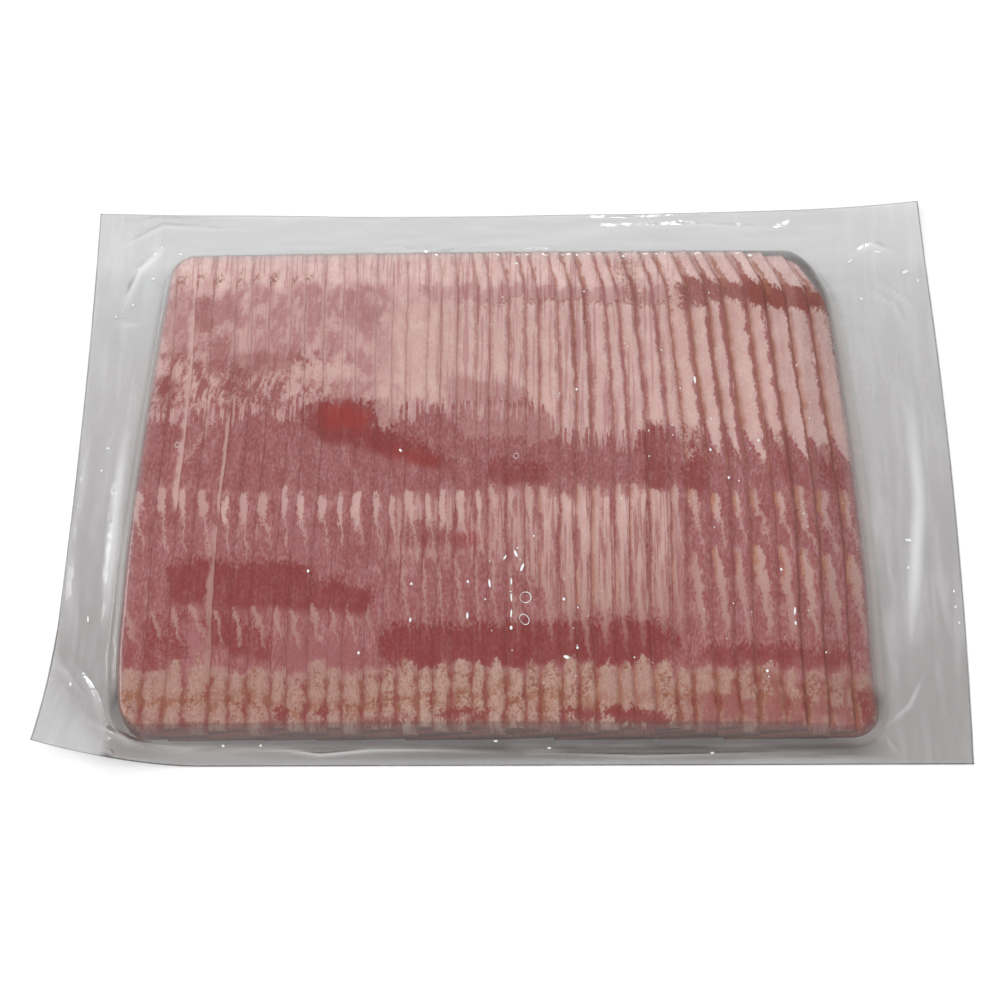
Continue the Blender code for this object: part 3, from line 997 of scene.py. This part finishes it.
# Creases in the loose film, in millimetres: height, half width, and the places each passes
CREASES = [
    (1.4, 3.8, [(-187, 26), (-188, -22), (-187, -92)]),
    (1.2, 3.4, [(-195, 90), (-188, 114), (-174, 131)]),
    (0.8, 2.2, [(-200, 84), (-184, 82)]),
    (1.4, 4.8, [(196, 60), (195, -20), (189, -62), (184, -98)]),
    (0.8, 1.6, [(193, -62), (184, -92)]),
    (0.8, 1.8, [(169, -134), (182, -122), (191, -105)]),
    (0.6, 1.6, [(169, -135), (176, -148)]),
    (0.9, 2.6, [(-196, -130), (-170, -139), (-145, -142), (-122, -139)]),
    (0.5, 1.6, [(-84, 124), (-57, 127), (-41, 122), (-26, 125), (66, 124)]),
    (0.7, 2.4, [(170, 119), (184, 125), (197, 119)]),
    (0.6, 2.2, [(177, 100), (192, 90), (198, 70)]),
    (0.6, 2.0, [(184, 104), (203, 88)]),
    (1.3, 1.3, [(-150, -142), (-100, -143), (-84, -145), (-62, -143), (-30, -143), (10, -145)]),
    (0.9, 1.3, [(0, -144), (60, -146), (150, -144)]),
    (0.5, 2.5, [(-205, 30), (-206, -40)]),
    (0.6, 2.0, [(-204, -96), (-190, -116), (-182, -134)]),
    (0.6, 2.4, [(-200, 128), (-178, 141), (-140, 138)]),
    (0.5, 2.4, [(20, 137), (90, 139), (150, 136)]),
]


def film_material(settings):
    material = bpy.data.materials.new("clear_film")
    material.use_nodes = True
    material.node_tree.nodes.clear()
    tree = Tree(material.node_tree)
    place_on = tree.node("ShaderNodeTexCoord", None, None, "Object")
    x, y, z = [each * MM for each in tree.split(place_on)]
    soft = tree.noise(tree.join(x / 9.0, y / 9.0, z / 9.0), detail=2.0, roughness=0.6)
    raised = smooth(z, 3.0, 14.0) * (1 - smooth(x, -185.0, -175.0))
    relief = soft * (1 - raised)
    normal = tree.node("ShaderNodeBump", None, {"Strength": 0.35, "Distance": 0.0008, "Height": relief})
    slack, fold, tent = [
        tree.node("ShaderNodeAttribute", {"attribute_name": name}, None, "Fac") for name in ("slack", "fold", "tent")
    ]
    # Whiter milky streaks, upright at the sides and level elsewhere, partly painted sheen.
    upright = tree.noise(tree.join(x / 6.0, y / 50.0, 2.0), detail=2.0, roughness=0.6)
    level = tree.noise(tree.join(x / 50.0, y / 6.0, 6.0), detail=2.0, roughness=0.6)
    drawn = level + (upright - level) * smooth(abs(x + 4.0), 160.0, 182.0)
    # Milk colour darker at the front and lighter at the back: painted light falling off towards the front.
    milky = tree.mix(smooth(y, -150.0, 150.0), settings.haze_front, settings.haze_back)
    # Painted highlight on crease ridges, the tent and the curled corner, with the milky streaks; weaker towards the
    # front as painted shade.
    white = smooth(drawn, 0.40, 0.72) * 0.40 + fold * 0.5 + tent * 0.1
    white = white * (0.45 + 0.55 * smooth(y, -140.0, -60.0)) + raised * 0.5
    milky = tree.mix(clip(white), milky, settings.haze_fold)
    milky = tree.mix(band(slack, 0.35, 0.97, 0.2) * 0.55 * (1 - smooth(y, 60.0, 110.0)), milky, settings.haze_meat)
    # Dark brown band just in front of the block: painted shade, partly brown meat juice on the film.
    front_shade_band = band(y, -147.0, -138.0, 2.0) * smooth(x, -170.0, 40.0) * (1 - smooth(x, 150.0, 180.0))
    milky = tree.mix(front_shade_band * (1.0 - 0.5 * smooth(drawn, 0.5, 0.7)), milky, settings.stain)
    # Crease ridges whitened again: painted highlight.
    milky = tree.mix(fold * 0.7, milky, settings.haze_fold)
    front_wall = smooth(y, -143.5, -140.0) * (1 - smooth(y, -124.0, -112.0)) * (1 - smooth(slack, 0.90, 1.0))
    haze = (settings.haze - settings.wet_haze) * slack * (1 - 0.55 * front_wall) + settings.wet_haze
    # Extra milk on crease ridges and on the tent: painted light that whitens the ridges and lifts the tent's shade.
    haze = clip(haze + (fold * 0.20 + tent * 0.45) * (1 - front_wall) + smooth(y, 104.0, 119.0) * 0.22)
    clear_colour = tree.mix(slack, settings.wet_tint, settings.tint)
    clear = tree.node("ShaderNodeBsdfTransparent", None, {"Color": clear_colour})
    milk = tree.node(
        "ShaderNodeBsdfPrincipled",
        None,
        {"Base Color": milky, "Roughness": 0.6, "Specular IOR Level": 0.0},
    )
    body = tree.node("ShaderNodeMixShader", None, {0: haze, 1: clear, 2: milk})
    blur = settings.roughness + smooth(z, 1.5, 7.0) * (1 - smooth(x, -188.0, -178.0)) * 0.55
    gloss = tree.node(
        "ShaderNodeBsdfPrincipled",
        None,
        {"Base Color": (1.0, 1.0, 1.0), "Metallic": 1.0, "Roughness": blur, "Normal": normal},
    )
    facing = tree.node("ShaderNodeFresnel", None, {"IOR": 1.5, "Normal": normal})
    surface = tree.node("ShaderNodeMixShader", None, {0: facing, 1: body, 2: gloss})
    tree.finish(surface)
    return material


def creased(x, y):
    """Height of the creases in the loose film."""
    height = 0.0
    for tall, wide, places in CREASES:
        for part, (start, end) in enumerate(zip(places, places[1:])):
            run = Vector(end) - Vector(start)
            from_x, from_y = x * MM - start[0], y * MM - start[1]
            share = clip((from_x * run.x + from_y * run.y) / run.length_squared)
            off = (from_x - share * run.x) ** 2 + (from_y - share * run.y) ** 2
            along = (share + part) * (2 / (len(places) - 1)) - 1
            tapered = (1 - along**2) * (tall / MM)
            height = most(height, tapered / (1 + off / wide**2) ** 2)
    return height


def film_tree(material):
    """Both sheets: the upper one draped over the rashers, the lower one flat under them."""
    inputs = {"Rashers": "NodeSocketCollection"}
    labels = ["Clearance", "Seal Gap", "Curl Height", "Wrinkles", "Creases"]
    inputs.update(dict.fromkeys(labels, "NodeSocketFloat"))
    inputs.update(dict.fromkeys(["Left Height", "Middle Height", "Right Height"], "NodeSocketFloat"))
    tree, sizes = shape_tree("Film", inputs)
    source = tree.node("GeometryNodeCollectionInfo", {"transform_space": "ORIGINAL"}, {0: sizes["Rashers"]})
    rashers = tree.node("GeometryNodeRealizeInstances", None, {0: source})
    heights = [sizes["Left Height"], sizes["Middle Height"], sizes["Right Height"]]

    def highest_at(x, y):
        """Height of the rashers at a place, 0 beside them."""
        ray = {"Target Geometry": rashers, "Source Position": tree.join(x, y, 0.1), "Ray Length": 0.2}
        ray["Ray Direction"] = (0.0, 0.0, -1.0)
        hit = tree.node("GeometryNodeRaycast", None, ray, "Hit Position")
        is_hit = Value(tree, hit.socket.node.outputs["Is Hit"])
        return tree.split(hit)[2] * is_hit

    def sheet(over):
        grid, u, v = unit_grid(tree, FILM_COLUMNS + 1, FILM_ROWS + 1)
        across, along = denser_ends(u, 0.25), denser_ends(v, 0.6)
        flat_y = FILM_DEPTH * (along - 0.5)
        bow = 1 - (flat_y * (2 / FILM_DEPTH)) ** 2
        left = LEFT_BOW * bow - FILM_WIDTH / 2
        right = FILM_WIDTH / 2 - RIGHT_BOW * (1 - bow)
        x = left + (right - left) * across
        back = FILM_DEPTH / 2 - BACK_BOW * (1 - (x * (2 / FILM_WIDTH)) ** 2)
        y = (back + FILM_DEPTH / 2) * along - FILM_DEPTH / 2
        inside = inside_block(x, y)
        cover = film_cover(inside)
        to_rim = least(least(u, 1 - u), least(v, 1 - v))
        slack = (1 - cover) * smooth(to_rim, 0.0, 0.02)
        broad = tree.noise(tree.join(x * 24.0, y * 24.0, 0.0), detail=3.0)
        ripple = smooth(broad, 0.45, 0.65) * sizes["Wrinkles"]
        folds = creased(x, y) * sizes["Creases"]
        lift, pull = off_table(x, y, sizes["Curl Height"])
        z = lift + (ripple + folds) * slack
        if over:
            tallest = most(highest_at(x, y), most(highest_at(x - 0.0012, y), highest_at(x + 0.0012, y)))
            eased = tree.node("GeometryNodeBlurAttribute", None, {"Value": tallest, "Iterations": 2})
            s = (x - BLOCK_LEFT) / (BLOCK_RIGHT - BLOCK_LEFT)
            mean = least(along_row(heights, s), 0.0066 + (BLOCK_RIGHT - x) * 0.295)
            stretched = most(cover * mean, most(eased, highest_at(x, y)))
            z = z + smooth(to_rim, 0.0, 0.012) * (sizes["Seal Gap"] + sizes["Clearance"] * cover) + stretched
        noted = note(tree, grid, "slack", 1 - smooth(inside, -TENT, 2 * SHOULDER))
        noted = note(tree, noted, "fold", slack * smooth(folds * MM, 0.0, 1.5))
        noted = note(tree, noted, "tent", 4 * cover * (1 - cover))
        return place(tree, noted, x + pull, y + pull, z)

    below = tree.node("GeometryNodeFlipFaces", None, {0: sheet(over=False)})
    joined = tree.tree.nodes.new("GeometryNodeJoinGeometry")
    for part in (below, sheet(over=True)):
        tree.tree.links.new(part.socket, joined.inputs[0])
    end_tree(tree, merge(tree, Value(tree, joined.outputs[0])), material)
    return tree


class BACON_OT_film(bpy.types.Operator):
    """Seals the rashers between two sheets of film"""

    bl_idname = "bacon_pack.film"
    bl_label = "Seal Film"

    def execute(self, context):
        settings, row = context.scene.bacon_film, context.scene.bacon_row
        rashers = bpy.data.collections.new("Rashers")
        context.scene.collection.children.link(rashers)
        for piece in bpy.data.objects:
            if piece.name.startswith("rasher_"):
                rashers.objects.link(piece)
        if not rashers.objects:
            raise RuntimeError("lay the rashers first")
        sizes = {
            "Rashers": rashers,
            "Clearance": settings.clearance,
            "Seal Gap": settings.seal_gap,
            "Curl Height": settings.curl_height,
            "Wrinkles": settings.wrinkles,
            "Creases": settings.creases,
            "Left Height": row.left_height,
            "Middle Height": row.middle_height,
            "Right Height": row.right_height,
        }
        film = grown("film_pouch", film_tree(film_material(settings)), sizes)
        bpy.data.collections.remove(rashers)
        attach(film, "root")
        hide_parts(NODE)
        return {"FINISHED"}


# --- Bubbles ----------------------------------------------------------------------------------------------

# Air under the film, whitened as painted glints, in millimetres and degrees: place, length, width and turn
BUBBLES = [
    (8.5, -75, 6.2, 6.0, 0), (8, -86, 6.4, 4.6, 30), (4, -2, 3.2, 3.0, 0), (-158, 6, 3.2, 3.0, 0),
    (4, -53, 4.6, 1.6, 20), (-1, -55, 3.0, 1.2, -30), (7, -60, 5.0, 1.6, -20), (2, -67, 4.0, 1.0, 0),
    (2, -75, 5.0, 1.0, 4), (2, -83, 5.0, 1.0, -4), (2, -90, 2.4, 1.6, 0), (-8, -68, 5.0, 1.3, 8),
    (26, -76, 2.0, 1.5, 0), (27, -104.5, 3.4, 2.0, 70), (32, -100, 1.6, 1.4, 0), (-92, -61, 2.0, 1.4, 0),
    (-51, 1.5, 2.2, 1.4, 40), (-67, -102, 1.8, 1.4, 0), (-44, -68, 1.6, 1.4, 0), (-44, -86, 2.4, 1.3, 0),
    (-18, -67, 1.8, 1.4, 0), (-18, -84, 4.0, 1.3, 0), (90, 39, 5.0, 1.3, 5), (96, 1, 2.0, 1.3, 0),
    (119, 6, 2.0, 1.3, 0), (104, -14, 1.8, 1.4, 0), (131, -82, 4.6, 1.2, -6), (131, -88, 2.4, 1.2, 6), (126, -61, 1.8, 1.4, 0),
    (117, -111, 2.0, 1.6, 0), (33, 34, 1.8, 1.4, 0), (4, 106, 2.2, 1.4, 60), (57, 110, 2.0, 1.4, 80),
    (120, 110.5, 2.6, 1.8, 80), (-193, 91, 4.5, 3.0, -30), (-190, 94, 2.4, 1.6, 30), (-198, 87, 2.0, 1.4, 0),
    (-181, 124, 4.0, 1.6, -50), (-178, 128, 2.0, 1.4, 0), (-189, 115, 1.8, 1.4, 0), (-181, 109.5, 3.0, 1.5, 70),
    (-168, 124, 3.0, 1.5, 60), (-195, 12, 2.2, 1.3, 90), (-197, 0, 1.8, 1.3, 0), (188.5, -40, 5.0, 1.8, 80),
    (187, -54, 1.8, 1.5, 0), (172, 116, 4.0, 1.4, -40), (186, 121, 5.0, 1.5, 80), (199, 109, 4.6, 2.2, -60),
    (205, 104, 2.0, 1.5, 0), (176, 93.5, 2.4, 1.5, 60), (207, -66, 2.0, 1.2, 0), (207, -74, 1.8, 1.2, 0),
    (208, -82, 1.6, 1.2, 0), (-5, -140, 2.4, 1.5, 90), (-128, -141, 2.4, 1.6, 0), (-111, -141, 2.0, 1.5, 0),
    (19, -142, 2.2, 1.4, 90), (92, -144.5, 2.2, 1.4, 90), (-200, -112, 3.0, 1.4, 0), (-196, -78, 4.0, 1.2, 8),
]
SPECKS = 60
BUBBLE_LOWEST = 0.0006
RING_WIDTH = 2.9
BUBBLE_SCALE = 0.85
BUBBLE_SIDES = 16
BUBBLE_RINGS = 9


def bubble_places(name):
    """A mesh with one vertex for each bubble, and their sizes."""
    draw = random.Random(11)
    rows = [(x, y, long, wide, math.radians(turn)) for x, y, long, wide, turn in BUBBLES]
    for _ in range(SPECKS):
        x, y = draw.uniform(-10.0, 160.0), draw.uniform(-120.0, 90.0)
        rows.append((x, y, draw.uniform(0.5, 1.5), draw.uniform(0.4, 0.9), draw.uniform(-0.5, 0.5)))
    seed = bpy.data.meshes.new(name)
    seed.from_pydata([(x / MM, y / MM, 0.0) for x, y, *_ in rows], [], [])
    for slot, label in enumerate(("long", "wide", "turn"), start=2):
        values = seed.attributes.new(label, "FLOAT", "POINT")
        values.data.foreach_set("value", [row[slot] for row in rows])
    return seed


def bubble_tree(material):
    """A low dome on the film at each place."""
    tree, sizes = shape_tree("Bubbles", {"Places": "NodeSocketGeometry", "Film": "NodeSocketObject"})

    def kept(label):
        return tree.node("GeometryNodeInputNamedAttribute", {"data_type": "FLOAT"}, {"Name": label})

    film = tree.node("GeometryNodeObjectInfo", None, {"Object": sizes["Film"]}, "Geometry")
    x, y, _ = tree.split(tree.node("GeometryNodeInputPosition"))
    ray = {"Target Geometry": film, "Source Position": tree.join(x, y, 0.1), "Ray Length": 0.2}
    ray["Ray Direction"] = (0.0, 0.0, -1.0)
    hit = tree.split(tree.node("GeometryNodeRaycast", None, ray, "Hit Position"))[2]
    points = place(tree, sizes["Places"], x, y, most(hit, BUBBLE_LOWEST))
    ball = {"Segments": BUBBLE_SIDES, "Rings": BUBBLE_RINGS, "Radius": 0.5 / MM}
    dome = tree.node("GeometryNodeMeshUVSphere", None, ball)
    loop = tree.node("GeometryNodeCurvePrimitiveCircle", None, {"Resolution": 2 * BUBBLE_SIDES, "Radius": 0.5 / MM})
    wall = tree.node("GeometryNodeCurvePrimitiveCircle", None, {"Resolution": BUBBLE_RINGS, "Radius": 0.038 / MM})
    ring = tree.node("GeometryNodeCurveToMesh", None, {"Curve": loop, "Profile Curve": wall})
    turn = tree.node("FunctionNodeEulerToRotation", None, {0: tree.join(0.0, 0.0, kept("turn"))})
    low = least(kept("wide"), kept("long")) * 0.4
    is_ring = maths("GREATER_THAN", kept("wide"), RING_WIDTH)
    joined = tree.tree.nodes.new("GeometryNodeJoinGeometry")
    for shape, chosen, tall in ((dome, 1 - is_ring, low), (ring, is_ring, least(low, 1.5) * 1.5)):
        spread = tree.join(kept("wide") * BUBBLE_SCALE, kept("long") * BUBBLE_SCALE, tall)
        inputs = {"Points": points, "Selection": chosen, "Instance": shape, "Rotation": turn, "Scale": spread}
        bubbles = tree.node("GeometryNodeInstanceOnPoints", None, inputs)
        tree.tree.links.new(bubbles.socket, joined.inputs[0])
    end_tree(tree, Value(tree, joined.outputs[0]), material)
    return tree


def air_glint_material():
    """Air under the film, mostly clear, with a little plain white as a painted glint."""
    material = bpy.data.materials.new("trapped_air_glints")
    material.use_nodes = True
    material.node_tree.nodes.clear()
    tree = Tree(material.node_tree)
    clear = tree.node("ShaderNodeBsdfTransparent", None, {"Color": (1.0, 1.0, 1.0)})
    # Plain white diffuse: a painted glint on each bubble.
    painted_glint = tree.node("ShaderNodeBsdfPrincipled", None, {"Base Color": (0.85, 0.85, 0.85), "Roughness": 0.3})
    tree.finish(tree.node("ShaderNodeMixShader", None, {0: 0.9, 1: clear, 2: painted_glint}))
    return material


class BACON_OT_bubbles(bpy.types.Operator):
    """Traps small bubbles of air under the film"""

    bl_idname = "bacon_pack.bubbles"
    bl_label = "Trap Bubbles"

    def execute(self, context):
        film = bpy.data.objects.get("film_pouch")
        if film is None:
            raise RuntimeError("seal the film first")
        seed = bubble_places("bubble_places")
        bubbles = grown("film_bubbles", bubble_tree(air_glint_material()), {"Film": film}, seed)
        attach(bubbles, "root")
        return {"FINISHED"}


# --- Stage ------------------------------------------------------------------------------------------------

LOOK_AT = Vector((-0.004, -0.017, 0.0))
FLOOR_SIZE = 6.0


def area_light(name, place_at, size, power, glints=True):
    data = bpy.data.lights.new(name, "AREA")
    data.shape = "DISK"
    data.size = size
    data.energy = power
    lamp = bpy.data.objects.new(name, data)
    lamp.location = place_at
    lamp.rotation_euler = (-Vector(place_at)).to_track_quat("-Z", "Y").to_euler()
    lamp.visible_glossy = glints
    bpy.context.scene.collection.objects.link(lamp)


def add_camera(settings):
    yaw, elevation, roll = settings.yaw, settings.elevation, settings.roll
    ahead = Vector((math.sin(yaw) * math.cos(elevation), math.cos(yaw) * math.cos(elevation), -math.sin(elevation)))
    level = Vector((math.cos(yaw), -math.sin(yaw), 0.0))
    upright = level.cross(ahead)
    right = math.cos(roll) * level + math.sin(roll) * upright
    up = math.cos(roll) * upright - math.sin(roll) * level
    data = bpy.data.cameras.new("camera")
    data.lens = settings.lens
    data.sensor_width = 36.0
    data.clip_start, data.clip_end = 0.01, 20.0
    camera = bpy.data.objects.new("camera", data)
    turned = Matrix((right, up, -ahead)).transposed().to_4x4()
    camera.matrix_world = Matrix.Translation(LOOK_AT - ahead * settings.distance) @ turned
    bpy.context.scene.collection.objects.link(camera)
    bpy.context.scene.camera = camera


def add_floor(settings):
    data = bpy.data.meshes.new("floor")
    half = FLOOR_SIZE / 2
    corners = [(-half, -half, -0.0006), (half, -half, -0.0006), (half, half, -0.0006), (-half, half, -0.0006)]
    data.from_pydata(corners, [], [(0, 1, 2, 3)])
    material = bpy.data.materials.new("floor")
    material.use_nodes = True
    shader = material.node_tree.nodes["Principled BSDF"]
    shader.inputs["Base Color"].default_value = (*settings.floor_colour, 1.0)
    shader.inputs["Roughness"].default_value = 0.9
    shader.inputs["Specular IOR Level"].default_value = 0.1
    data.materials.append(material)
    floor = bpy.data.objects.new("floor", data)
    bpy.context.scene.collection.objects.link(floor)


def add_world():
    world = bpy.data.worlds.new("studio")
    world.use_nodes = True
    background = world.node_tree.nodes["Background"]
    background.inputs["Color"].default_value = (1.0, 1.0, 1.0, 1.0)
    background.inputs["Strength"].default_value = 0.60
    bpy.context.scene.world = world


class BACON_OT_stage(bpy.types.Operator):
    """Sets up the floor, the light and the camera"""

    bl_idname = "bacon_pack.stage"
    bl_label = "Set Stage"

    def execute(self, context):
        settings = context.scene.bacon_stage
        add_floor(settings)
        add_world()
        area_light("soft_top", (0.0, -0.5, 1.6), 1.5, 17.0, glints=False)
        area_light("soft_left", (-1.0, 0.30, 0.9), 0.50, 2.6)
        area_light("small_back", (0.10, 0.95, 0.75), 0.07, 0.7)
        add_camera(settings)
        context.scene.view_settings.view_transform = "Standard"
        return {"FINISHED"}


# --- Panel and registration -------------------------------------------------------------------------------

OPERATORS = [BACON_OT_rashers, BACON_OT_film, BACON_OT_bubbles, BACON_OT_stage]


class BACON_PT_pack(bpy.types.Panel):
    """The pack's operators and settings."""

    bl_label = "Bacon Pack"
    bl_idname = "BACON_PT_pack"
    bl_space_type = "VIEW_3D"
    bl_region_type = "UI"
    bl_category = "Bacon Pack"

    def draw(self, context):
        for each in OPERATORS:
            self.layout.operator(each.bl_idname)
        for name in SETTINGS:
            group = getattr(context.scene, name)
            box = self.layout.box()
            for setting in group.bl_rna.properties:
                if setting.identifier not in {"name", "rna_type"}:
                    box.prop(group, setting.identifier)


def register():
    for each in [*SETTINGS.values(), *OPERATORS, BACON_PT_pack]:
        bpy.utils.register_class(each)
    for name, group in SETTINGS.items():
        setattr(bpy.types.Scene, name, bpy.props.PointerProperty(type=group))


def unregister():
    for name in SETTINGS:
        delattr(bpy.types.Scene, name)
    for each in reversed([*SETTINGS.values(), *OPERATORS, BACON_PT_pack]):
        bpy.utils.unregister_class(each)


def main():
    register()
    bpy.ops.bacon_pack.rashers()
    bpy.ops.bacon_pack.film()
    bpy.ops.bacon_pack.bubbles()
    bpy.ops.bacon_pack.stage()


if __name__ == "__main__":
    main()
